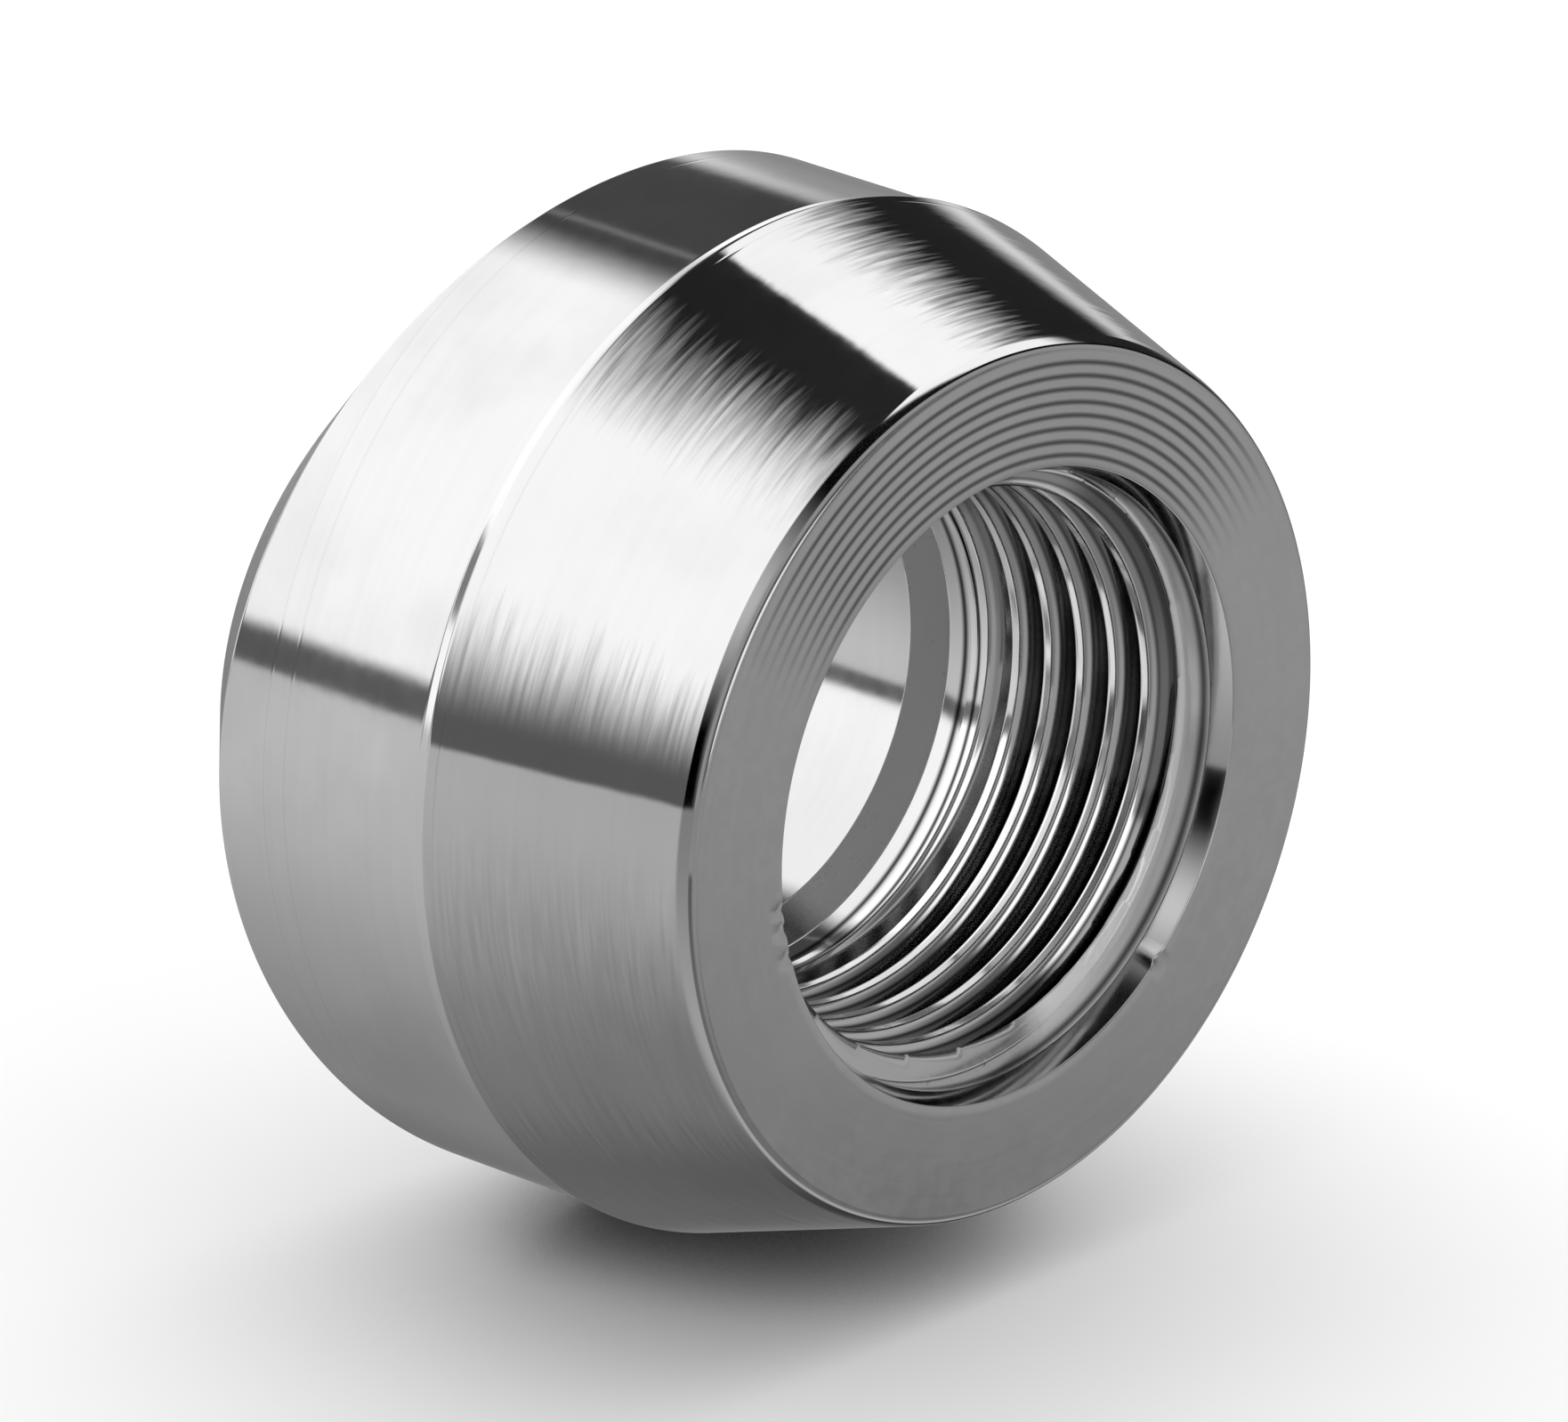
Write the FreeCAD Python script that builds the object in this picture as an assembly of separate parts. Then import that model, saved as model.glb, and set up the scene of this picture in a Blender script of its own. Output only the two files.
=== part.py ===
import FreeCAD, Part
import math
import os

# Threaded branch outlet fitting that is welded onto the outside of a run pipe.
# Millimetres. The branch axis is Z, with the outlet face up. The run pipe lies along X.
# The origin is where the branch axis meets the outside of the run pipe.
# The two ears of the saddle point along Y, and its two crotches lie along X.

# Height from the run pipe's surface to the outlet face
OUTLET_HEIGHT = 27.0

# Run pipe that the saddle is shaped for
RUN_PIPE_RADIUS = 84.14

# Outside of the body, from the outlet down
FACE_RADIUS = 18.7
FACE_EDGE_DEPTH = 0.65
FACE_EDGE_SETBACK = 0.3
RIDGE_RADIUS = 22.55
RIDGE_DEPTH = 11.65
LAND_WIDTH = 0.65
LAND_SETBACK = 0.2
BASE_RADIUS = 22.85

# Weld bevel round the saddle, at one angle to the branch axis all the way round
BEVEL_HEIGHT = 6.4
BEVEL_ANGLE = 42.0

# Mouth and smooth band in front of the thread
MOUTH_RADIUS = 13.65
MOUTH_CHAMFER_DEPTH = 1.0
BAND_RADIUS = 13.25
BAND_DEPTH = 2.4
SHOULDER_DEPTH = 2.6

# Taper pipe thread, 14 turns to the inch, on a taper of 1 in 16 on the diameter
# Its crests are cut back to a flat of about a quarter of the pitch.
THREAD_PITCH = 25.4 / 14
THREAD_HEIGHT = 0.6 * THREAD_PITCH
THREAD_ROOT_FLAT = 0.033 * THREAD_PITCH
THREAD_FLANK_ANGLE = 30.0
THREAD_TAPER = 1 / 32
THREAD_ROOT_RADIUS = 13.28
THREAD_END_DEPTH = 13.5

# Depth of the middle of the groove where its helix starts, on the X axis
HELIX_FOOT_DEPTH = 14.08

# The groove fades out on a cone before the thread ends
RUNOUT_LENGTH = 2.4
RUNOUT_ANGLE = 30.0

# Relief band past the thread, conical step and flow bore
RELIEF_RADIUS = 11.9
RELIEF_END_DEPTH = 14.9
FLOW_BORE_RADIUS = 11.0
STEP_END_DEPTH = 16.4

# Flare of the flow bore into the run pipe
FLARE_RADIUS = 13.6
FLARE_HEIGHT = 5.0

# How far a cutting shape runs past the surface that it cuts
OVERCUT = 1.0
THREAD_OVERCUT = 0.05

# How closely the groove is matched to the cone that it fades out on
MATCH_TOLERANCE = 0.005


def at_depth(depth):
    return OUTLET_HEIGHT - depth


def root_radius(depth):
    return THREAD_ROOT_RADIUS - depth * THREAD_TAPER


def crest_radius(depth):
    return root_radius(depth) - THREAD_HEIGHT


def revolve(points):
    corners = [FreeCAD.Vector(radius, 0, height) for radius, height in points]
    face = Part.Face(Part.makePolygon(corners + corners[:1]))
    return face.revolve(FreeCAD.Vector(0, 0, 0), FreeCAD.Vector(0, 0, 1), 360)


def saddle_drop(radius, angle, run_radius):
    """How far a cylinder that is coaxial with the run pipe falls away below its crown."""
    across = radius * math.sin(angle)
    return run_radius - math.sqrt(run_radius ** 2 - across ** 2)


def ear_drop(radius):
    return saddle_drop(radius, math.pi / 2, RUN_PIPE_RADIUS)


def turned_blank():
    """Face, chamfered edge, cone, ridge with its narrow land, and the skirt."""
    bottom = -ear_drop(BASE_RADIUS) - OVERCUT
    return revolve([
        (0, bottom),
        (BASE_RADIUS, bottom),
        (RIDGE_RADIUS - LAND_SETBACK, at_depth(RIDGE_DEPTH + LAND_WIDTH)),
        (RIDGE_RADIUS, at_depth(RIDGE_DEPTH)),
        (FACE_RADIUS + FACE_EDGE_SETBACK, at_depth(FACE_EDGE_DEPTH)),
        (FACE_RADIUS, at_depth(0)),
        (0, at_depth(0)),
    ])


def bevel_radius(offset):
    return BASE_RADIUS + offset * math.tan(math.radians(BEVEL_ANGLE))


def bevel_ring(offset):
    """Closed curve on the bevel's flank, raised by the offset from the skirt's lower edge."""
    count = 48
    radius = bevel_radius(offset)
    points = []
    for step in range(count):
        angle = 2 * math.pi * step / count
        edge = BEVEL_HEIGHT - saddle_drop(BASE_RADIUS, angle, RUN_PIPE_RADIUS + BEVEL_HEIGHT)
        x = radius * math.cos(angle)
        y = radius * math.sin(angle)
        points.append(FreeCAD.Vector(x, y, edge + offset))
    curve = Part.BSplineCurve()
    curve.interpolate(Points=points, PeriodicFlag=True)
    return Part.Wire(curve.toShape())


def circle_wire(radius, height):
    return Part.Wire(Part.makeCircle(radius, FreeCAD.Vector(0, 0, height)))


def bevel_envelope():
    """Solid whose lower flank is the weld bevel, which follows the saddle all the way round."""
    top_circle = circle_wire(bevel_radius(OVERCUT), at_depth(-OVERCUT))
    top_edge = bevel_ring(OVERCUT)
    root_offset = -BEVEL_HEIGHT - OVERCUT
    root_edge = bevel_ring(root_offset)
    low_circle = circle_wire(bevel_radius(root_offset), -ear_drop(BASE_RADIUS) - 2 * OVERCUT)
    return Part.makeLoft([top_circle, top_edge, root_edge, low_circle], True, True)


def run_pipe():
    length = 4 * BASE_RADIUS
    start = FreeCAD.Vector(-length / 2, 0, -RUN_PIPE_RADIUS)
    return Part.makeCylinder(RUN_PIPE_RADIUS, length, start, FreeCAD.Vector(1, 0, 0))


def bore():
    """Mouth, smooth band, tapered thread crest, relief band, conical step, flow bore, flare."""
    chamfer_slope = (MOUTH_RADIUS - BAND_RADIUS) / MOUTH_CHAMFER_DEPTH
    low = -ear_drop(FLARE_RADIUS) - OVERCUT
    flare_slope = (FLARE_RADIUS - FLOW_BORE_RADIUS) / FLARE_HEIGHT
    return revolve([
        (0, at_depth(-OVERCUT)),
        (MOUTH_RADIUS + OVERCUT * chamfer_slope, at_depth(-OVERCUT)),
        (BAND_RADIUS, at_depth(MOUTH_CHAMFER_DEPTH)),
        (BAND_RADIUS, at_depth(BAND_DEPTH)),
        (crest_radius(SHOULDER_DEPTH), at_depth(SHOULDER_DEPTH)),
        (crest_radius(THREAD_END_DEPTH), at_depth(THREAD_END_DEPTH)),
        (RELIEF_RADIUS, at_depth(THREAD_END_DEPTH)),
        (RELIEF_RADIUS, at_depth(RELIEF_END_DEPTH)),
        (FLOW_BORE_RADIUS, at_depth(STEP_END_DEPTH)),
        (FLOW_BORE_RADIUS, FLARE_HEIGHT),
        (FLARE_RADIUS - low * flare_slope, low),
        (0, low),
    ])


def thread_groove():
    """Helical groove of the pipe thread, up to where it leaves the wall in the smooth band."""
    top_depth = BAND_DEPTH - THREAD_PITCH / 2
    crest = crest_radius(HELIX_FOOT_DEPTH)
    turns_height = HELIX_FOOT_DEPTH - top_depth
    half_angle = math.degrees(math.atan(THREAD_TAPER))
    centre = at_depth(HELIX_FOOT_DEPTH)
    helix = Part.makeHelix(THREAD_PITCH, turns_height, crest, half_angle)
    helix.translate(FreeCAD.Vector(0, 0, centre))
    inner = crest - THREAD_OVERCUT
    outer = crest + THREAD_HEIGHT
    half_root = THREAD_ROOT_FLAT / 2
    half_mouth = half_root + (outer - inner) * math.tan(math.radians(THREAD_FLANK_ANGLE))
    corners = [
        FreeCAD.Vector(inner, 0, centre - half_mouth),
        FreeCAD.Vector(outer, 0, centre - half_root),
        FreeCAD.Vector(outer, 0, centre + half_root),
        FreeCAD.Vector(inner, 0, centre + half_mouth),
    ]
    profile = Part.makePolygon(corners + corners[:1])
    return Part.Wire(helix.Edges).makePipeShell([profile], True, True)


def runout_cone():
    """Solid that lets the groove fade out before the relief band, as the tap's lead leaves it."""
    wide = THREAD_ROOT_RADIUS + OVERCUT
    start_depth = THREAD_END_DEPTH - RUNOUT_LENGTH
    start_radius = root_radius(start_depth)
    tip_depth = start_depth + start_radius / math.tan(math.radians(RUNOUT_ANGLE))
    return revolve([
        (0, at_depth(0)),
        (wide, at_depth(0)),
        (wide, at_depth(start_depth)),
        (start_radius, at_depth(start_depth)),
        (0, at_depth(tip_depth)),
    ])


def fitting_body():
    body = turned_blank().common(bevel_envelope())
    body = body.cut(run_pipe())
    body = body.cut(bore())
    thread = thread_groove().common([runout_cone()], MATCH_TOLERANCE)
    return body.cut(thread)


def export(name, shape):
    os.makedirs("parts", exist_ok=True)
    shape.exportStep("parts/" + name + ".step")


export("fitting_body", fitting_body())
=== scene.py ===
import math

import bpy
from mathutils import Matrix, Vector


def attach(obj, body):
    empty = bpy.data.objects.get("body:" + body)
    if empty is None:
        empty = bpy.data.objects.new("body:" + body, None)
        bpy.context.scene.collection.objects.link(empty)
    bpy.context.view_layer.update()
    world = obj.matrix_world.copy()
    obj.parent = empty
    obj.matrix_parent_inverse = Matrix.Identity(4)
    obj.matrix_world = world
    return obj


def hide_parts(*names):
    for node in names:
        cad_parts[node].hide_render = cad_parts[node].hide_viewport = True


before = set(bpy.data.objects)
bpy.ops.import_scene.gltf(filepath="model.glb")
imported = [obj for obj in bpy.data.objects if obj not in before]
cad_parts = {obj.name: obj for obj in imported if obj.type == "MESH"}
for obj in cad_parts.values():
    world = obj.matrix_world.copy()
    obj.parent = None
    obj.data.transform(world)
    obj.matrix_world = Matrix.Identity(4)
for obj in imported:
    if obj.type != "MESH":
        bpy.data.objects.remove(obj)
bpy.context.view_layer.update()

# A threaded branch outlet fitting. Sizes are millimetres in the part's own frame, as in part.py:
# the branch axis is Z, the outlet face is at z = 27 and the run pipe lies along X.
MM = 0.001
AXIS = Vector((0.0, 0.0, 1.0))

OUTLET_HEIGHT = 27.0
RUN_PIPE_RADIUS = 84.14
OVERCUT = 1.0

FACE_RADIUS = 18.7
FACE_EDGE_DEPTH = 0.65
FACE_EDGE_SETBACK = 0.3
RIDGE_RADIUS = 22.55
RIDGE_DEPTH = 11.65
LAND_WIDTH = 0.65
LAND_SETBACK = 0.2
BASE_RADIUS = 22.85
BEVEL_HEIGHT = 6.4
BEVEL_ANGLE = 42.0

MOUTH_RADIUS = 13.65
MOUTH_CHAMFER_DEPTH = 1.0
BAND_RADIUS = 13.25
BAND_DEPTH = 2.4
SHOULDER_DEPTH = 2.6

THREAD_PITCH = 25.4 / 14
THREAD_HEIGHT = 0.6 * THREAD_PITCH
THREAD_ROOT_FLAT = 0.033 * THREAD_PITCH
THREAD_FLANK_ANGLE = 30.0
THREAD_TAPER = 1 / 32
THREAD_ROOT_RADIUS = 13.28
THREAD_END_DEPTH = 13.5
HELIX_FOOT_DEPTH = 14.08
RUNOUT_LENGTH = 2.4
RUNOUT_ANGLE = 30.0

RELIEF_RADIUS = 11.9
RELIEF_END_DEPTH = 14.9
FLOW_BORE_RADIUS = 11.0
STEP_END_DEPTH = 16.4
FLARE_RADIUS = 13.6
FLARE_HEIGHT = 5.0

# Rounds on the edges, from the thread out to the weld bevel. The groove's root is a little shallower.
ROOT_FILL = 0.02
ROOT_ROUND = 0.16
RUNOUT_ROUND = 0.1
CREST_ROUND = 0.05
THREAD_END_ROUND = 0.03
STEP_ROUND = 0.08
THROAT_ROUND = 0.4
MOUTH_ROUND = 0.06
FACE_ROUND = 0.28
RIDGE_ROUND = 0.1
FOOT_ROUND = 0.12

# Mesh density. The seams are narrow rows where the threaded stretch meets the plain rings.
STEPS_AROUND = 360
ROWS_PER_PITCH = 24
ROW_HEIGHT = THREAD_PITCH / ROWS_PER_PITCH
CORNER_STEPS = 4
LOW_SEAM = 0.02
SHOULDER_SEAM = 0.02
HIGH_SEAM = 0.03
SAME_HEIGHT = 0.01

# Shares: of a stretch that a round may take up, and of a row under which two rows fall together
ROUND_SHARE = 0.4
MERGE_SHARE = 0.3

# Rounds of the search for where two surfaces meet
SEARCH_ROUNDS = 40

# The steels, by the way that each surface was turned
FACE, EDGE, CONE, SKIRT, BEVEL, BORE, STEP, MOUTH, BAND, THREAD = range(10)

# The photograph's camera, as turns about the part in radians: it looks down on the outlet face
# from the side, and the picture is rolled so that the branch axis points right and a little down.
EAR_TURN = math.radians(30.0)
CAMERA_TURN = 2.288
CAMERA_ROLL = 0.328
CAMERA_OFFSET = (9.494, 3.196, 330.24)
FOCAL_PIXELS = 9000.0
PICTURE_WIDTH = 1762.0
SENSOR_MM = 36.0


def at_depth(depth):
    return OUTLET_HEIGHT - depth


def from_photo(azimuth, radius, height):
    """A place in the part's frame, from its azimuth in the photograph's own camera fit."""
    angle = math.radians(azimuth) - math.pi / 2 - EAR_TURN
    return Vector((radius * math.cos(angle), radius * math.sin(angle), height))


# In the photograph the fitting lies on its side. These point from it to that floor, up, and aside.
FLOOR_WAY = from_photo(117.4, 1.0, 0.0)
UP_WAY = -FLOOR_WAY
SIDE_WAY = UP_WAY.cross(AXIS)

# Where the floor's own light comes from
KEY_WAY = (UP_WAY * 0.75 + SIDE_WAY * 0.45 - AXIS * 0.45).normalized()

# Small nicks in the mouth's edge, with how far each one reaches and its depth as a share of that
NICK_DEPTH = 0.5
WIDEST_NICK = 0.45
NICKS = [
    (from_photo(159.0, 13.64, 26.95), WIDEST_NICK),
    (from_photo(34.0, 13.66, 27.0), 0.3),
    (from_photo(37.5, 13.66, 27.0), 0.36),
    (from_photo(43.0, 13.66, 27.0), 0.3),
]


# Form of the bore

def root_radius(depth):
    return THREAD_ROOT_RADIUS - depth * THREAD_TAPER


def crest_radius(depth):
    return root_radius(depth) - THREAD_HEIGHT


def soft_max(first, second, width):
    """The larger of two radii, with the corner between them rounded."""
    gap = max(width - abs(first - second), 0.0) / width
    return max(first, second) + gap * gap * width / 4


def soft_min(first, second, width):
    return -soft_max(-first, -second, width)


def shoulder_radius(depth):
    """Steep step from the smooth band down to the thread's crests."""
    fall = (BAND_RADIUS - crest_radius(SHOULDER_DEPTH)) / (SHOULDER_DEPTH - BAND_DEPTH)
    return BAND_RADIUS - (depth - BAND_DEPTH) * fall


def groove_radius(angle, height):
    """Wall of the helical groove, up to the cone on which it fades out."""
    depth = OUTLET_HEIGHT - height
    turn = (height - at_depth(HELIX_FOOT_DEPTH)) / THREAD_PITCH - angle / (2 * math.pi)
    off = abs(turn - round(turn)) * THREAD_PITCH
    flank = 1 / math.tan(math.radians(THREAD_FLANK_ANGLE))
    groove = root_radius(depth) - max(off - THREAD_ROOT_FLAT / 2, 0.0) * flank
    groove = soft_min(groove, root_radius(depth) - ROOT_FILL, ROOT_ROUND)
    full_depth = THREAD_END_DEPTH - RUNOUT_LENGTH
    fade = root_radius(full_depth) - (depth - full_depth) * math.tan(math.radians(RUNOUT_ANGLE))
    return soft_min(groove, fade, RUNOUT_ROUND)


def wall_radius(angle, height):
    """Bore wall in the threaded stretch: shoulder, crests, and the helical groove between them."""
    depth = OUTLET_HEIGHT - height
    smooth = max(crest_radius(depth), shoulder_radius(depth))
    return soft_max(groove_radius(angle, height), smooth, CREST_ROUND)


# Form of the outside and the underside

def saddle_drop(radius, angle, run_radius):
    """How far a cylinder that is coaxial with the run pipe falls away below its crown."""
    across = radius * math.sin(angle)
    return run_radius - math.sqrt(run_radius ** 2 - across ** 2)


def skirt_edge(angle):
    """Height of the skirt's lower edge, which follows the run pipe."""
    return BEVEL_HEIGHT - saddle_drop(BASE_RADIUS, angle, RUN_PIPE_RADIUS + BEVEL_HEIGHT)


def bevel_radius(angle, height):
    """Radius of the weld bevel at a height. Its angle to the branch axis is the same all round."""
    return BASE_RADIUS + (height - skirt_edge(angle)) * math.tan(math.radians(BEVEL_ANGLE))


def skirt_radius(height):
    top = at_depth(RIDGE_DEPTH + LAND_WIDTH)
    bottom = -saddle_drop(BASE_RADIUS, math.pi / 2, RUN_PIPE_RADIUS) - OVERCUT
    share = (top - height) / (top - bottom)
    return (RIDGE_RADIUS - LAND_SETBACK) + (BASE_RADIUS - RIDGE_RADIUS + LAND_SETBACK) * share


def skirt_foot(angle):
    """Where the skirt meets the bevel."""
    height = BEVEL_HEIGHT
    for _ in range(SEARCH_ROUNDS):
        radius = skirt_radius(height)
        height = skirt_edge(angle) + (radius - BASE_RADIUS) / math.tan(math.radians(BEVEL_ANGLE))
    return radius, height


def bevel_foot(angle):
    """Where the bevel meets the saddle."""
    radius = BASE_RADIUS
    for _ in range(SEARCH_ROUNDS):
        height = -saddle_drop(radius, angle, RUN_PIPE_RADIUS)
        radius = bevel_radius(angle, height)
    return radius, height


def flare_foot(angle):
    """Where the flare of the flow bore meets the saddle."""
    slope = (FLARE_RADIUS - FLOW_BORE_RADIUS) / FLARE_HEIGHT
    radius = FLARE_RADIUS
    for _ in range(SEARCH_ROUNDS):
        height = -saddle_drop(radius, angle, RUN_PIPE_RADIUS)
        radius = FLARE_RADIUS - height * slope
    return radius, height


def section(angle):
    """Corners as (radius, height, round-off, steel of the stretch that follows).

    They run from under the thread, by way of the underside and the outside, to the smooth band.
    """
    foot_radius, foot_height = skirt_foot(angle)
    bevel_end, bevel_end_height = bevel_foot(angle)
    flare_radius, flare_height = flare_foot(angle)
    middle = (flare_radius + bevel_end) / 2
    return [
        (crest_radius(THREAD_END_DEPTH), at_depth(THREAD_END_DEPTH), THREAD_END_ROUND, BORE),
        (RELIEF_RADIUS, at_depth(THREAD_END_DEPTH), THREAD_END_ROUND, BORE),
        (RELIEF_RADIUS, at_depth(RELIEF_END_DEPTH), STEP_ROUND, STEP),
        (FLOW_BORE_RADIUS, at_depth(STEP_END_DEPTH), STEP_ROUND, BORE),
        (FLOW_BORE_RADIUS, FLARE_HEIGHT, THROAT_ROUND, BORE),
        (flare_radius, flare_height, FOOT_ROUND, BEVEL),
        (middle, -saddle_drop(middle, angle, RUN_PIPE_RADIUS), 0.0, BEVEL),
        (bevel_end, bevel_end_height, STEP_ROUND, BEVEL),
        (foot_radius, foot_height, FOOT_ROUND, SKIRT),
        (RIDGE_RADIUS - LAND_SETBACK, at_depth(RIDGE_DEPTH + LAND_WIDTH), RIDGE_ROUND, SKIRT),
        (RIDGE_RADIUS, at_depth(RIDGE_DEPTH), RIDGE_ROUND, CONE),
        (FACE_RADIUS + FACE_EDGE_SETBACK, at_depth(FACE_EDGE_DEPTH), RIDGE_ROUND, EDGE),
        (FACE_RADIUS, OUTLET_HEIGHT, FACE_ROUND, FACE),
        (MOUTH_RADIUS + 2 * WIDEST_NICK, OUTLET_HEIGHT, 0.0, FACE),
        (MOUTH_RADIUS + WIDEST_NICK, OUTLET_HEIGHT, 0.0, FACE),
        (MOUTH_RADIUS, OUTLET_HEIGHT, MOUTH_ROUND, MOUTH),
        (BAND_RADIUS, at_depth(MOUTH_CHAMFER_DEPTH), MOUTH_ROUND, BAND),
        (BAND_RADIUS, at_depth(BAND_DEPTH) + HIGH_SEAM, 0.0, BAND),
    ]


def rounded(corners, start, end):
    """Turns corners into short arcs. It gives points, and the steel of the stretch after each."""
    places = [Vector(start)] + [Vector(corner[:2]) for corner in corners] + [Vector(end)]
    line = []
    steels = []
    before_steel = THREAD
    for number, corner in enumerate(corners, 1):
        before, here, after = places[number - 1], places[number], places[number + 1]
        longest = min((before - here).length, (after - here).length) * ROUND_SHARE
        reach = min(corner[2], longest)
        steps = CORNER_STEPS if reach > 0 else 0
        first = here + (before - here).normalized() * reach
        last = here + (after - here).normalized() * reach
        for step in range(steps + 1):
            share = step / max(steps, 1)
            line.append(first.lerp(here, share).lerp(here.lerp(last, share), share))
            steels.append(corner[3] if share >= 0.5 or not steps else before_steel)
        before_steel = corner[3]
    return line, steels


# Mesh of the body

class BodyMesh:
    """Fine mesh of the fitting, built from upright columns that go round the branch axis.

    All its faces look out of the steel.
    """

    top = at_depth(BAND_DEPTH)
    bottom = at_depth(THREAD_END_DEPTH)
    angles = [2 * math.pi * step / STEPS_AROUND for step in range(STEPS_AROUND)]

    def __init__(self):
        self.vertices = []
        self.faces = []
        self.steels = []
        low = self.bottom + LOW_SEAM
        self.low_ring = [self.add(angle, wall_radius(angle, low), low) for angle in self.angles]
        self.high_ring = [self.add(angle, BAND_RADIUS, self.top) for angle in self.angles]

    def add(self, angle, radius, height):
        place = Vector((radius * math.cos(angle), radius * math.sin(angle), height))
        for nick, size in NICKS:
            near = max(1.0 - (place - nick).length / size, 0.0)
            place -= AXIS * near * size * NICK_DEPTH
        self.vertices.append(tuple(place * MM))
        return len(self.vertices) - 1

    def plain_column(self, number):
        """Vertices from the thread's lower end, round the outside, to its upper end.

        With them comes the steel of the stretch after each one.
        """
        angle = self.angles[number]
        low = self.bottom + LOW_SEAM
        start = (wall_radius(angle, low), low)
        line, steels = rounded(section(angle), start, (BAND_RADIUS, self.top))
        column = [self.low_ring[number]] + [self.add(angle, spot.x, spot.y) for spot in line]
        return column + [self.high_ring[number]], [THREAD] + steels

    def plain_rings(self):
        columns = [self.plain_column(number) for number in range(STEPS_AROUND)]
        for number, (here, row_steels) in enumerate(columns):
            there = columns[(number + 1) % STEPS_AROUND][0]
            for row, steel_number in enumerate(row_steels):
                self.faces.append((here[row], there[row], there[row + 1], here[row + 1]))
                self.steels.append(steel_number)

    def thread_vertex(self, number, row):
        """A vertex of the threaded stretch. Rows climb with the helix and keep the shoulder crisp."""
        angle = self.angles[number]
        height = self.bottom + ROW_HEIGHT * row + THREAD_PITCH * angle / (2 * math.pi)
        for edge in (at_depth(SHOULDER_DEPTH), self.top - SHOULDER_SEAM):
            if abs(height - edge) < ROW_HEIGHT / 2:
                height = edge
        if height <= self.bottom + MERGE_SHARE * ROW_HEIGHT:
            return self.low_ring[number]
        if height >= self.top - SAME_HEIGHT:
            return self.high_ring[number]
        return self.add(angle, wall_radius(angle, height), height)

    def threaded_stretch(self):
        """Faces between the columns. The last column meets the first one a whole pitch further up."""
        last_row = int((self.top - self.bottom) / ROW_HEIGHT) + 2
        rows = range(-ROWS_PER_PITCH, last_row + 1)
        grid = [[self.thread_vertex(number, row) for row in rows] for number in range(STEPS_AROUND)]
        for number, here in enumerate(grid):
            shift = ROWS_PER_PITCH if number == STEPS_AROUND - 1 else 0
            there = grid[(number + 1) % STEPS_AROUND]
            for row in range(len(here) - 1):
                low = min(row + shift, len(there) - 1)
                high = min(row + 1 + shift, len(there) - 1)
                self.add_thread_face((here[row], here[row + 1], there[high], there[low]))

    def add_thread_face(self, corners):
        """Adds a face where its corners, less the ones that fall together, are at least three."""
        corners = tuple(dict.fromkeys(corners))
        if len(corners) < 3:
            return
        lowest = min(self.vertices[corner][2] for corner in corners) / MM
        self.faces.append(corners)
        self.steels.append(BAND if lowest > at_depth(SHOULDER_DEPTH) - SAME_HEIGHT else THREAD)

    def build(self):
        self.plain_rings()
        self.threaded_stretch()
        mesh = bpy.data.meshes.new("fitting_body_fine")
        mesh.from_pydata(self.vertices, [], self.faces)
        return mesh


# Node helpers

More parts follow.
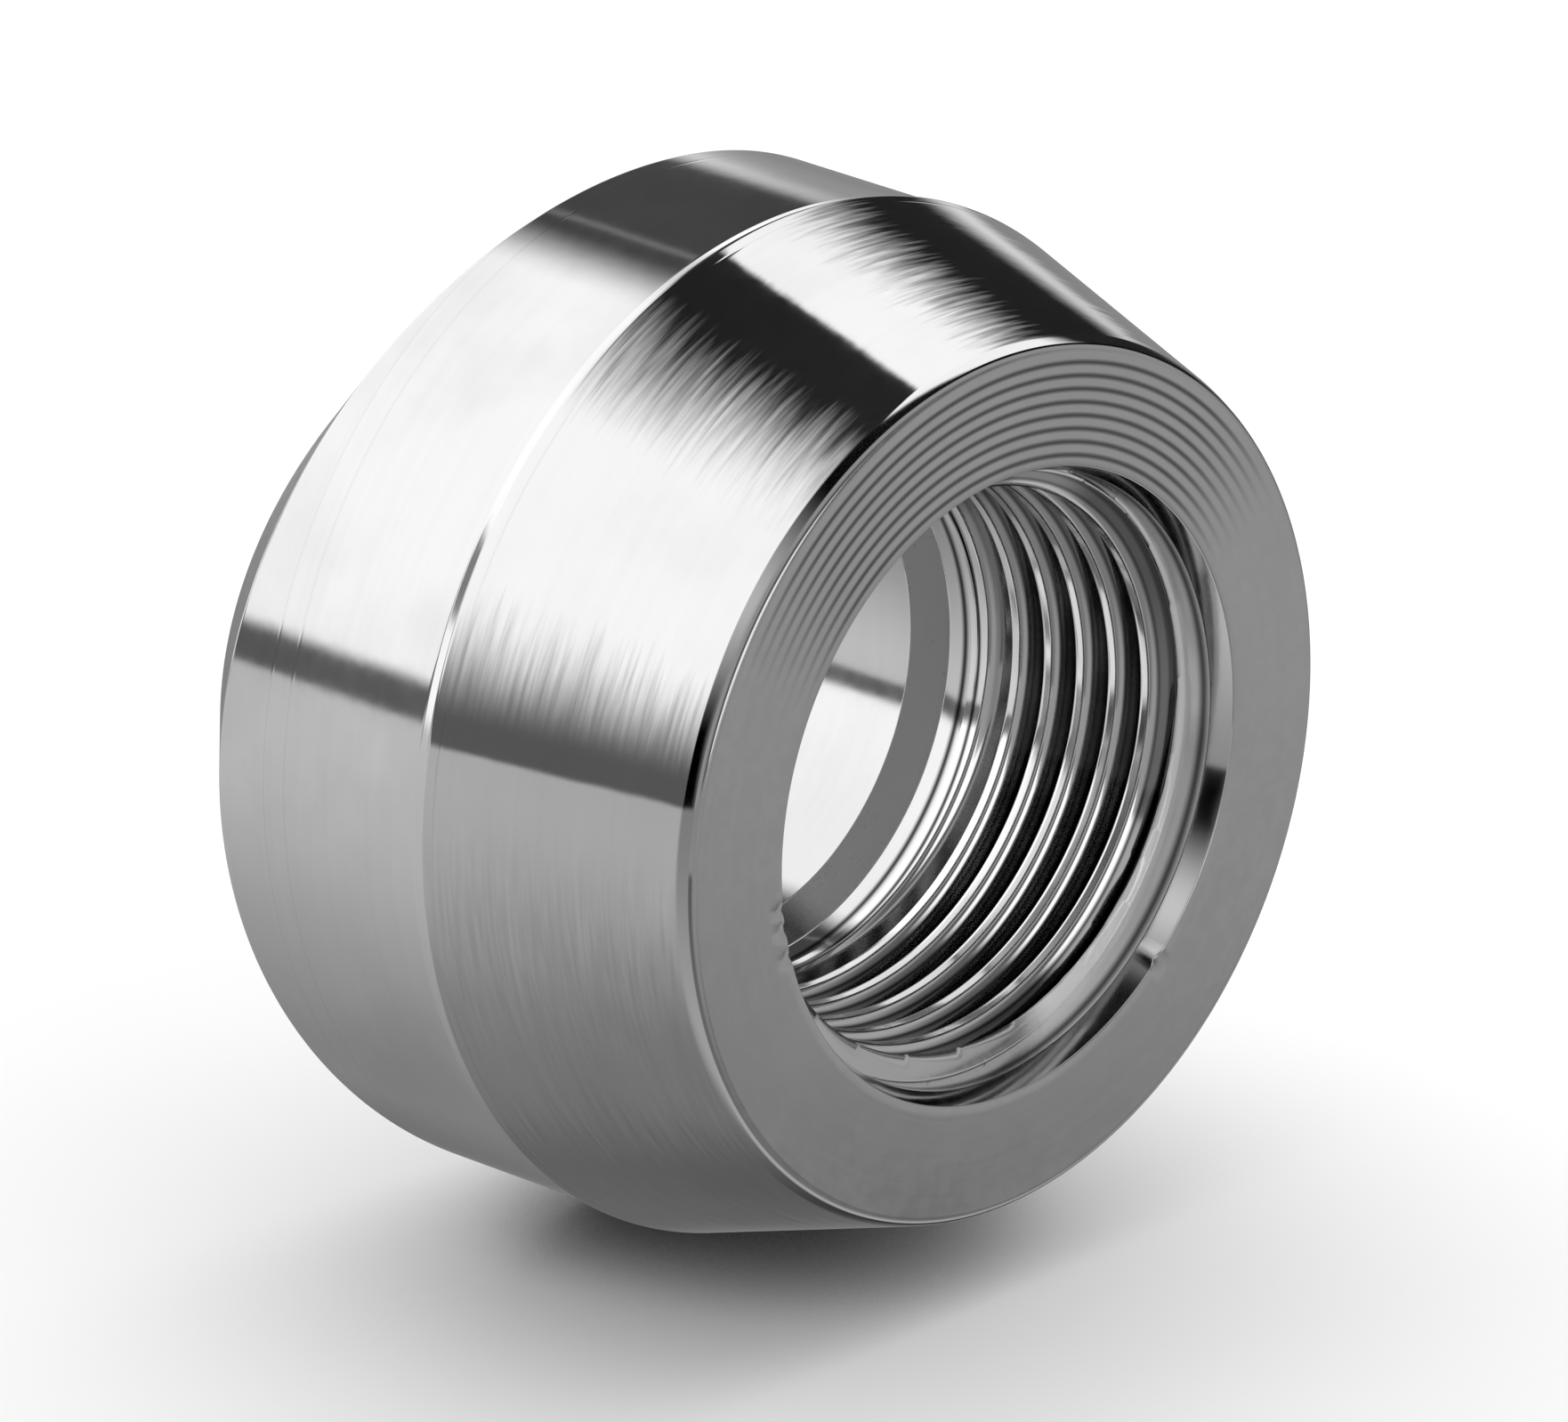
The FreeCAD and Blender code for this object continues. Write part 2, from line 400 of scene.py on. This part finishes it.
class Graph:
    def __init__(self, tree):
        self.tree = tree
        tree.nodes.clear()

    def node(self, kind, **values):
        item = self.tree.nodes.new(kind)
        for key, value in values.items():
            setattr(item, key, value)
        return item

    def plug(self, socket, value):
        if isinstance(value, bpy.types.NodeSocket):
            self.tree.links.new(value, socket)
        elif value is not None:
            socket.default_value = value

    def math(self, kind, first, second=None, third=None):
        item = self.node("ShaderNodeMath", operation=kind)
        self.plug(item.inputs[0], first)
        self.plug(item.inputs[1], second)
        self.plug(item.inputs[2], third)
        return item.outputs[0]

    def both(self, first, second):
        return self.math("MULTIPLY", first, second)

    def plus(self, value, factor, rest):
        """The value times the factor, and the rest added to it."""
        return self.math("MULTIPLY_ADD", value, factor, rest)

    def off(self, value, middle):
        """How far a value is from the middle."""
        return self.math("ABSOLUTE", self.math("SUBTRACT", value, middle))

    def vector(self, kind, first, second=None):
        item = self.node("ShaderNodeVectorMath", operation=kind)
        self.plug(item.inputs[0], first)
        self.plug(item.inputs[1], second)
        return item.outputs["Value"] if kind in ("DOT_PRODUCT", "LENGTH") else item.outputs["Vector"]

    def scale(self, vector, factor):
        item = self.node("ShaderNodeVectorMath", operation="SCALE")
        self.plug(item.inputs[0], vector)
        self.plug(item.inputs["Scale"], factor)
        return item.outputs["Vector"]

    def ramp(self, value, low, high, to_low=0.0, to_high=1.0):
        """Soft step between two values."""
        item = self.node("ShaderNodeMapRange", interpolation_type="SMOOTHSTEP")
        self.plug(item.inputs["Value"], value)
        item.inputs["From Min"].default_value = low
        item.inputs["From Max"].default_value = high
        self.plug(item.inputs["To Min"], to_low)
        self.plug(item.inputs["To Max"], to_high)
        return item.outputs["Result"]

    def fall(self, value, low, high):
        """Soft step from one down to zero."""
        return self.ramp(value, low, high, 1.0, 0.0)

    def blend(self, share, first, second):
        """Plain mix of two numbers."""
        item = self.node("ShaderNodeMix", data_type="FLOAT")
        self.plug(item.inputs[0], share)
        self.plug(item.inputs[2], first)
        self.plug(item.inputs[3], second)
        return item.outputs[0]

    def tint(self, share, first, second):
        """Plain mix of two colours."""
        item = self.node("ShaderNodeMix", data_type="RGBA")
        self.plug(item.inputs[0], share)
        self.plug(item.inputs[6], first)
        self.plug(item.inputs[7], second)
        return item.outputs[2]

    def split(self, vector):
        item = self.node("ShaderNodeSeparateXYZ")
        self.plug(item.inputs[0], vector)
        return item.outputs

    def join(self, x, y, z):
        item = self.node("ShaderNodeCombineXYZ")
        self.plug(item.inputs[0], x)
        self.plug(item.inputs[1], y)
        self.plug(item.inputs[2], z)
        return item.outputs[0]

    def noise(self, vector, scale, detail=3.0):
        item = self.node("ShaderNodeTexNoise")
        self.plug(item.inputs["Vector"], vector)
        item.inputs["Scale"].default_value = scale
        item.inputs["Detail"].default_value = detail
        item.inputs["Roughness"].default_value = 0.5
        return item.outputs["Fac"]

    def output(self, kind, surface):
        self.plug(self.node(kind).inputs["Surface"], surface)


def grey(level):
    return (level, level, level, 1.0)


# Steel: how much light each finish gives back, and the near black that painted shade tints it towards

LIGHT = 0.66
# A lighter copy of the same steel for the mouth, band and thread: painted light for the brighter
# light inside the mouth
PAINTED_BRIGHT = 0.86
DULL = 0.5
# Near black of the painted shade in grooves and dark lines
PAINTED_SHADE_GREY = 0.03

# The side of the bore that is satin where the rest of it is bright
SATIN_WAY = from_photo(196.0, 1.0, 0.0)

# Painted shade by side: the half of the bore whose grooves are painted paler, and how dark they still
# are
PAINTED_PALE_GROOVE_WAY = from_photo(278.0, 1.0, 0.0)
PAINTED_PALER_GROOVE = 0.85

# Painted shade: the grooves darken between two depths under their crests, with a painted lighter rib
# on the flanks.
# Near the thread's end the painted shade fades, and they are as light as the crests.
GROOVE_SHADE = (0.2, 0.38)
RIB_DEPTH = 0.58
RIB_REACH = (0.08, 0.24)
PAINTED_RIB_LIGHT = 0.3
LIGHT_GROOVE_END = (at_depth(12.9), at_depth(11.5))

# Square to the places on the cone where the brush lines lie calm, with their reach
CALM_WAYS = [(from_photo(44.0, 1.0, 0.0), 0.14), (from_photo(105.5, 1.0, 0.0), 0.3),
             (from_photo(8.0, 1.0, 0.0), 0.2)]


class SteelGraph(Graph):
    """Turned steel, with its rings counted along the branch axis or along the radius."""

    def __init__(self, tree, by_radius):
        super().__init__(tree)
        self.by_radius = by_radius
        self.place = self.node("ShaderNodeTexCoord").outputs["Object"]
        flat = self.vector("MULTIPLY", self.place, (1.0, 1.0, 0.0))
        self.around = self.split(self.vector("NORMALIZE", flat))
        self.radius = self.math("DIVIDE", self.vector("LENGTH", flat), MM)
        self.measure = self.radius
        if not by_radius:
            self.measure = self.math("DIVIDE", self.split(self.place)["Z"], MM)
        self.fine = self.rings(2.5, 7.0, 2.0)
        self.broad = self.rings(1.6, 2.2, 2.0)
        self.cloud = self.noise(self.place, 110.0, 4.0)
        self.speck = self.noise(self.place, 1500.0, 2.0)

    def rings(self, turns, per_mm, detail):
        """Noise drawn out round the axis. More turns make it shorter, and more per_mm finer."""
        x = self.both(self.around["X"], turns)
        y = self.both(self.around["Y"], turns)
        return self.noise(self.join(x, y, self.both(self.measure, per_mm)), 1.0, detail)

    def toward(self, way):
        """One on the side of the fitting where the direction points, and minus one opposite."""
        return self.plus(self.around["Y"], way.y, self.both(self.around["X"], way.x))

    def painted_groove_shade(self):
        """Painted shade of the thread below its crests, with a painted lighter rib on its flanks."""
        crest = self.plus(self.measure, THREAD_TAPER, crest_radius(OUTLET_HEIGHT))
        sunk = self.math("SUBTRACT", self.radius, crest)
        rib = self.ramp(self.off(sunk, RIB_DEPTH), *RIB_REACH, PAINTED_RIB_LIGHT, 0.0)
        dark = self.math("SUBTRACT", self.ramp(sunk, *GROOVE_SHADE), rib)
        dark = self.both(dark, self.ramp(self.measure, *LIGHT_GROOVE_END))
        # The painted groove shade is lighter on one half of the bore and darker on the other
        return self.both(dark, self.ramp(self.toward(PAINTED_PALE_GROOVE_WAY), -0.02, 0.02, 1.0, PAINTED_PALER_GROOVE))

    def turned_line(self, spot, half_width):
        """A single turned line. Those on the face fade away towards the photograph's floor: painted
        shade, which shows only on the upper side where the light falls.
        """
        line = self.fall(self.off(self.measure, spot), 0.0, half_width)
        if self.by_radius:
            # Painted: the face's lines and their painted shade show only on the side the light falls
            # from
            line = self.both(line, self.ramp(self.toward(UP_WAY), 0.45, 0.8))
        return line

    def colour(self, light, mottle, dark):
        share = self.ramp(self.cloud, 0.35, 0.65, 0.5 - mottle, 0.5 + mottle)
        share = self.plus(self.math("SUBTRACT", self.broad, 0.5), 0.3, share)
        # dark tints the steel towards near black: painted shade
        return self.tint(dark, self.tint(share, grey(0.82 * light), grey(light)), grey(PAINTED_SHADE_GREY))

    def roughness(self, level):
        rough = self.ramp(self.speck, 0.3, 0.7, level * 0.9, level * 1.15)
        return self.plus(self.math("SUBTRACT", self.cloud, 0.5), level * 0.8, rough)

    def metal_share(self, satin):
        """Full, or lower where the satin side of the bore scatters the light evenly."""
        return self.ramp(self.toward(SATIN_WAY), 0.4, 0.58, 1.0, 1.0 - satin) if satin else 1.0

    def bump(self, height):
        item = self.node("ShaderNodeBump")
        item.inputs["Strength"].default_value = 1.0
        item.inputs["Distance"].default_value = MM
        self.plug(item.inputs["Height"], height)
        return item.outputs[0]

    def brushed(self, normal, amount):
        """Leans the surface to and fro along the brush lines."""
        lean = self.rings(5.0, 5.0, 3.0)
        lean = self.both(self.math("SUBTRACT", lean, 0.5), amount)
        for calm, reach in CALM_WAYS:
            across = self.math("ABSOLUTE", self.toward(calm))
            lean = self.both(lean, self.ramp(across, 0.03, reach))
        tangent = self.join(self.both(self.around["Y"], -1.0), self.around["X"], 0.0)
        return self.vector("NORMALIZE", self.vector("ADD", normal, self.scale(tangent, lean)))


def steel(name, roughness, fine, broad, mottle, lines=(), light=LIGHT, by_radius=False,
          with_painted_groove_shade=False, satin=0.0, brushed=0.0):
    """Turned steel.

    fine and broad are the heights of its fine rings and of its broad ones, in millimetres.
    mottle is how far its tone clouds over.
    lines are single turned lines, as (place, half width, depth, painted shade).
    With painted groove shade, the steel is painted darker from the thread's crests down to its roots.
    satin is the share of the light that the steel scatters evenly, on one side of the bore.
    brushed is how far its long brush lines lean aside.
    """
    material = bpy.data.materials.new(name)
    material.use_nodes = True
    graph = SteelGraph(material.node_tree, by_radius)
    height = graph.plus(graph.broad, broad, graph.both(graph.fine, fine))
    height = graph.plus(graph.cloud, 0.02, height)
    # Painted shade in the thread's grooves
    dark = graph.painted_groove_shade() if with_painted_groove_shade else 0.0
    # Each turned line adds its painted shade to the dark tint
    for spot, half_width, depth, line_painted_shade in lines:
        line = graph.turned_line(spot, half_width)
        height = graph.plus(line, -depth, height)
        dark = graph.plus(line, line_painted_shade, dark)
    normal = graph.bump(height)
    if brushed:
        normal = graph.brushed(normal, brushed)

    shader = graph.node("ShaderNodeBsdfPrincipled")
    graph.plug(shader.inputs["Base Color"], graph.colour(light, mottle, dark))
    graph.plug(shader.inputs["Metallic"], graph.metal_share(satin))
    graph.plug(shader.inputs["Roughness"], graph.roughness(roughness))
    graph.plug(shader.inputs["Normal"], normal)
    graph.output("ShaderNodeOutputMaterial", shader.outputs[0])
    return material


# Turned lines as (place, half width, depth, darkness): the depth is real relief and the darkness is
# painted shade. The lines in the band, thread and bore have no depth and are painted shade alone.
FACE_LINES = [(14.1 + 0.555 * number, 0.19, 0.006, 0.8) for number in range(8)]
CONE_LINES = [(at_depth(RIDGE_DEPTH) + 0.5, 0.08, 0.0015, 0.08)]
SKIRT_LINES = [(at_depth(19.9), 0.12, 0.002, 0.06), (at_depth(21.1), 0.1, 0.002, 0.06)]
BAND_LINES = [(at_depth(1.35), 0.42, 0.0, 0.9)]
THREAD_LINES = [(at_depth(13.05), 0.2, 0.0, 1.0)]
BORE_LINES = [(at_depth(13.95), 0.28, 0.0, 1.0)]

STEELS = {
    FACE: steel("turned_face", 0.2, 0.0004, 0.0008, 0.15, FACE_LINES, by_radius=True),
    EDGE: steel("edge_steel", 0.06, 0.0001, 0.0002, 0.1, by_radius=True),
    CONE: steel("turned_cone", 0.045, 0.0001, 0.0006, 0.25, CONE_LINES, brushed=0.24),
    SKIRT: steel("skirt_steel", 0.08, 0.0002, 0.0006, 0.3, SKIRT_LINES),
    BEVEL: steel("bevel_steel", 0.2, 0.001, 0.003, 0.3, light=DULL),
    BORE: steel("bore_steel", 0.1, 0.0002, 0.0006, 0.2, BORE_LINES),
    STEP: steel("step_steel", 0.3, 0.0002, 0.0004, 0.05, light=DULL, satin=0.85),
    MOUTH: steel("mouth_steel", 0.1, 0.0002, 0.0004, 0.1, light=PAINTED_BRIGHT),
    BAND: steel("band_steel", 0.2, 0.0002, 0.0004, 0.1, BAND_LINES, light=PAINTED_BRIGHT, satin=0.75),
    THREAD: steel("thread_steel", 0.1, 0.0002, 0.0004, 0.1, THREAD_LINES, light=PAINTED_BRIGHT, with_painted_groove_shade=True),
}


def fitting_body():
    form = BodyMesh()
    mesh = form.build()
    for number in sorted(STEELS):
        mesh.materials.append(STEELS[number])
    for polygon, number in zip(mesh.polygons, form.steels):
        polygon.use_smooth = True
        polygon.material_index = number
    mesh.update()
    piece = bpy.data.objects.new("fitting_body_fine", mesh)
    bpy.context.scene.collection.objects.link(piece)
    weights = piece.modifiers.new("even_normals", "WEIGHTED_NORMAL")
    weights.weight = 60
    weights.keep_sharp = False
    return piece


body = fitting_body()
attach(body, "root")
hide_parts("fitting_body")


# Camera

def photo_camera():
    """The photograph's camera. The camera fit's own frame is turned into the part's frame."""
    turn = Matrix.Rotation(CAMERA_TURN, 3, "Y")
    roll = Matrix.Rotation(CAMERA_ROLL, 3, "Z")
    fit_to_part = Matrix.Rotation(-(math.pi / 2 + EAR_TURN), 3, "Z")
    view = roll @ turn
    place = view.transposed() @ Vector(CAMERA_OFFSET) * -1.0
    place = fit_to_part @ place + AXIS * OUTLET_HEIGHT
    right, down, ahead = [fit_to_part @ view[row] for row in range(3)]
    data = bpy.data.cameras.new("photo_camera")
    data.sensor_width = SENSOR_MM
    data.lens = FOCAL_PIXELS * SENSOR_MM / PICTURE_WIDTH
    data.clip_start = 0.01
    data.clip_end = 20.0
    camera = bpy.data.objects.new("photo_camera", data)
    axes = Matrix((right, -down, -ahead)).transposed().to_4x4()
    camera.matrix_world = Matrix.Translation(place * MM) @ axes
    bpy.context.scene.collection.objects.link(camera)
    bpy.context.scene.camera = camera


photo_camera()


# Studio: how bright its lamps and its dim places are

LAMP = 1.46
LAMP_FOOT = 0.15
GAP = 0.02
GAP_BEHIND = 0.07
GAP_LIGHT_LINE = 0.2
FAR_HOLE = 0.02
FAR_WALL = 0.38
WINDOW = 0.72
WINDOW_ON_MOUTH = 0.42
WINDOW_ON_THREAD = 0.12
LAMP_AHEAD = 1.4
FLOOR_AHEAD = 0.35
BELOW_DIM = 0.3
BELOW_BRIGHT = 1.55
BACKDROP = 1.0


class StudioLight(Graph):
    """Light of the studio by direction: up from the floor, aside, and out of the fitting's mouth.

    In the photograph's view the skirt shows what lies near out = -0.64, the cone what lies from
    -0.47 to -0.06, the face what lies near 0.64, and the thread's flanks what lies above 0.9.
    """

    def __init__(self, tree):
        super().__init__(tree)
        self.way = self.node("ShaderNodeTexCoord").outputs["Generated"]
        self.up = self.vector("DOT_PRODUCT", self.way, tuple(UP_WAY))
        self.side = self.vector("DOT_PRODUCT", self.way, tuple(SIDE_WAY))
        self.out = self.vector("DOT_PRODUCT", self.way, tuple(AXIS))

    def floor(self):
        """Pale towards the horizon, and shaded behind and below the fitting."""
        floor = self.ramp(self.up, -1.0, -0.1, 0.3, 0.8)
        floor = self.both(floor, self.ramp(self.out, -0.55, -0.3, 1.0, 0.84))
        shade = self.ramp(self.out, -0.55, -0.35, 0.3, 0.7)
        shade = self.both(shade, self.ramp(self.side, -0.35, 0.35))
        floor = self.both(floor, self.math("SUBTRACT", 1.0, shade))
        floor = self.both(floor, self.ramp(self.side, 0.15, 0.55, 1.0, 0.5))
        in_front = self.ramp(self.up, -0.9, -0.02, 0.56, 0.33)
        floor = self.blend(self.ramp(self.out, -0.16, 0.04), floor, in_front)
        nearby = self.vector("DOT_PRODUCT", self.way, tuple(from_photo(112.0, 1.0, 0.0)))
        nearby = self.ramp(nearby, 0.318, 0.342, -0.1, 0.6)
        nearby = self.both(nearby, self.ramp(self.out, 0.3, 0.45))
        floor = self.both(floor, self.math("SUBTRACT", 1.0, nearby))
        return self.blend(self.ramp(self.out, 0.7, 0.9), floor, FLOOR_AHEAD)

    def lamp(self):
        """Main lamp, which fades softly towards the horizon where the cone faces it."""
        reach = self.ramp(self.out, -0.6, -0.15, 0.05, 0.42)
        rise = self.math("DIVIDE", self.math("SUBTRACT", self.up, 0.09), reach)
        low = self.fall(rise, 0.0, 1.0)
        low = self.both(low, self.fall(self.side, -0.3, -0.2))
        return self.blend(low, LAMP, LAMP_FOOT)

    def overhead_gap(self, sky):
        """Gap between two lamps: one edge is sharp and the other one is soft."""
        place = self.ramp(self.out, -0.55, -0.35, 0.165, 0.126)
        sharp = self.plus(self.out, -0.909, self.math("SUBTRACT", place, self.side))
        sharp = self.math("DIVIDE", sharp, self.ramp(self.out, -0.55, -0.3, 0.06, 0.012))
        soft = self.plus(self.out, 0.557, self.side)
        soft = self.math("DIVIDE", soft, self.ramp(self.out, -0.6, -0.2, 0.2, 0.5))
        gap = self.both(self.ramp(sharp, -1.0, 1.0), self.ramp(soft, -1.0, 0.0))
        gap = self.both(gap, self.ramp(self.up, 0.15, 0.3))
        line = self.ramp(self.off(self.side, 0.41), 0.0, 0.018, GAP_LIGHT_LINE, 0.0)
        line = self.both(line, self.fall(self.out, -0.6, -0.5))
        depth = self.ramp(self.out, -0.6, -0.4, GAP_BEHIND, GAP)
        return self.blend(gap, sky, self.math("ADD", depth, line))

    def far_side(self, sky):
        """Second gap low on the far side, and the dim wall past it."""
        fade = self.ramp(self.out, -0.35, -0.25, 0.36, 0.14)
        hole = self.math("DIVIDE", self.math("SUBTRACT", self.up, 0.45), fade)
        hole = self.both(self.fall(hole, 0.0, 1.0), self.ramp(self.side, 0.55, 0.7))
        hole = self.both(hole, self.ramp(self.out, -0.545, -0.475))
        sky = self.blend(hole, sky, FAR_HOLE)
        wall = self.both(self.ramp(self.side, 0.69, 0.75), self.fall(self.out, -0.56, -0.5))
        return self.blend(wall, sky, FAR_WALL)

    def camera_side(self, sky):
        """Dark half on the camera's side, with a dim window and a lamp straight ahead."""
        window = self.both(self.fall(self.side, -0.7, -0.2), self.ramp(self.up, 0.28, 0.75))
        window = self.both(window, WINDOW)
        window = self.blend(self.ramp(self.out, 0.18, 0.32), window, WINDOW_ON_MOUTH)
        window = self.blend(self.ramp(self.out, 0.55, 0.8), window, WINDOW_ON_THREAD)
        ahead = self.fall(self.plus(self.up, -0.5, self.side), 0.03, 0.13)
        ahead = self.both(self.ramp(self.out, 0.87, 0.94), ahead)
        window = self.blend(ahead, window, LAMP_AHEAD)
        return self.blend(self.ramp(self.out, -0.055, 0.0), sky, window)

    def horizon(self, floor, sky):
        """The horizon is sharp, except far to the side."""
        horizon = self.math("DIVIDE", self.up, self.ramp(self.side, 0.55, 0.72, 0.012, 0.11))
        return self.blend(self.ramp(horizon, -1.0, 1.0), floor, sky)

    def from_below(self, light):
        """Light that comes up through the bore from under the fitting, with a dim patch."""
        dim = self.both(self.ramp(self.up, 0.06, 0.11), self.fall(self.up, 0.21, 0.25))
        aside = self.both(self.ramp(self.side, -0.3, -0.25), self.fall(self.side, 0.05, 0.12))
        dim = self.both(dim, aside)
        below = self.both(self.ramp(self.side, -0.4, -0.35), self.math("SUBTRACT", 1.0, dim))
        below = self.plus(below, BELOW_BRIGHT - BELOW_DIM, BELOW_DIM)
        under = self.both(self.fall(self.out, -0.88, -0.8), self.ramp(self.up, -0.14, -0.09))
        return self.blend(under, light, below)

    def floor_light(self):
        """The floor itself is lit softly from above and from behind."""
        key = self.vector("DOT_PRODUCT", self.way, tuple(KEY_WAY))
        key = self.ramp(key, 0.0, 1.0, 0.3, 1.85)
        return self.math("ADD", key, self.ramp(self.out, 0.5, 0.9))


def studio_world():
    """Soft lamps over a pale floor, with the dark gaps and edges that the steel shows."""
    world = bpy.data.worlds.new("studio")
    bpy.context.scene.world = world
    world.use_nodes = True
    graph = StudioLight(world.node_tree)
    sky = graph.camera_side(graph.far_side(graph.overhead_gap(graph.lamp())))
    light = graph.from_below(graph.horizon(graph.floor(), sky))
    path = graph.node("ShaderNodeLightPath").outputs
    light = graph.blend(path["Is Glossy Ray"], graph.floor_light(), light)
    light = graph.blend(path["Is Camera Ray"], light, BACKDROP)
    background = graph.node("ShaderNodeBackground")
    background.inputs["Color"].default_value = grey(1.0)
    graph.plug(background.inputs["Strength"], light)
    graph.output("ShaderNodeOutputWorld", background.outputs[0])


# Floor: its middle, half its width, its clearance, and how far the painted contact shadow reaches
FLOOR_MIDDLE = 12.0
FLOOR_REACH = 900.0
FLOOR_GAP = 0.05
PAINTED_SHADOW_REACH = 6.0


def pale_cloth():
    """Pale cloth with a painted contact shadow, darkened where the fitting touches it. From behind it
    can't be seen.
    """
    material = bpy.data.materials.new("pale_floor")
    material.use_nodes = True
    graph = Graph(material.node_tree)
    grain = graph.noise(graph.node("ShaderNodeTexCoord").outputs["Object"], 40.0)
    # Painted contact shadow: ambient occlusion tints the cloth towards near black close to the
    # fitting
    painted_contact_shadow = graph.node("ShaderNodeAmbientOcclusion")
    painted_contact_shadow.inputs["Distance"].default_value = PAINTED_SHADOW_REACH * MM
    painted_contact_shadow.samples = 6
    share = graph.ramp(painted_contact_shadow.outputs["AO"], 0.05, 0.45)
    cloth = graph.node("ShaderNodeBsdfDiffuse")
    colour = graph.tint(grain, grey(0.85), grey(0.88))
    graph.plug(cloth.inputs["Color"], graph.tint(share, grey(0.05), colour))
    clear = graph.node("ShaderNodeBsdfTransparent")
    pick = graph.node("ShaderNodeMixShader")
    graph.plug(pick.inputs[0], graph.node("ShaderNodeNewGeometry").outputs["Backfacing"])
    graph.plug(pick.inputs[1], cloth.outputs[0])
    graph.plug(pick.inputs[2], clear.outputs[0])
    graph.output("ShaderNodeOutputMaterial", pick.outputs[0])
    return material


def studio_floor():
    """Floor of the photograph, under the side that the fitting lies on. It takes the shadow, and its
    cloth carries a painted contact shadow.
    """
    centre = FLOOR_WAY * (BASE_RADIUS + FLOOR_GAP) + AXIS * FLOOR_MIDDLE
    along = AXIS * FLOOR_REACH
    across = SIDE_WAY * FLOOR_REACH
    corners = [centre + along + across, centre - along + across,
               centre - along - across, centre + along - across]
    data = bpy.data.meshes.new("studio_floor")
    data.from_pydata([tuple(corner * MM) for corner in corners], [], [(0, 1, 2, 3)])
    if data.polygons[0].normal.dot(UP_WAY) < 0:
        data.flip_normals()
    data.materials.append(pale_cloth())
    floor = bpy.data.objects.new("studio_floor", data)
    bpy.context.scene.collection.objects.link(floor)
    floor.visible_diffuse = False
    floor.visible_glossy = False
    floor.visible_transmission = False
    floor.visible_shadow = False


studio_world()
studio_floor()
bpy.context.scene.view_settings.view_transform = "Standard"
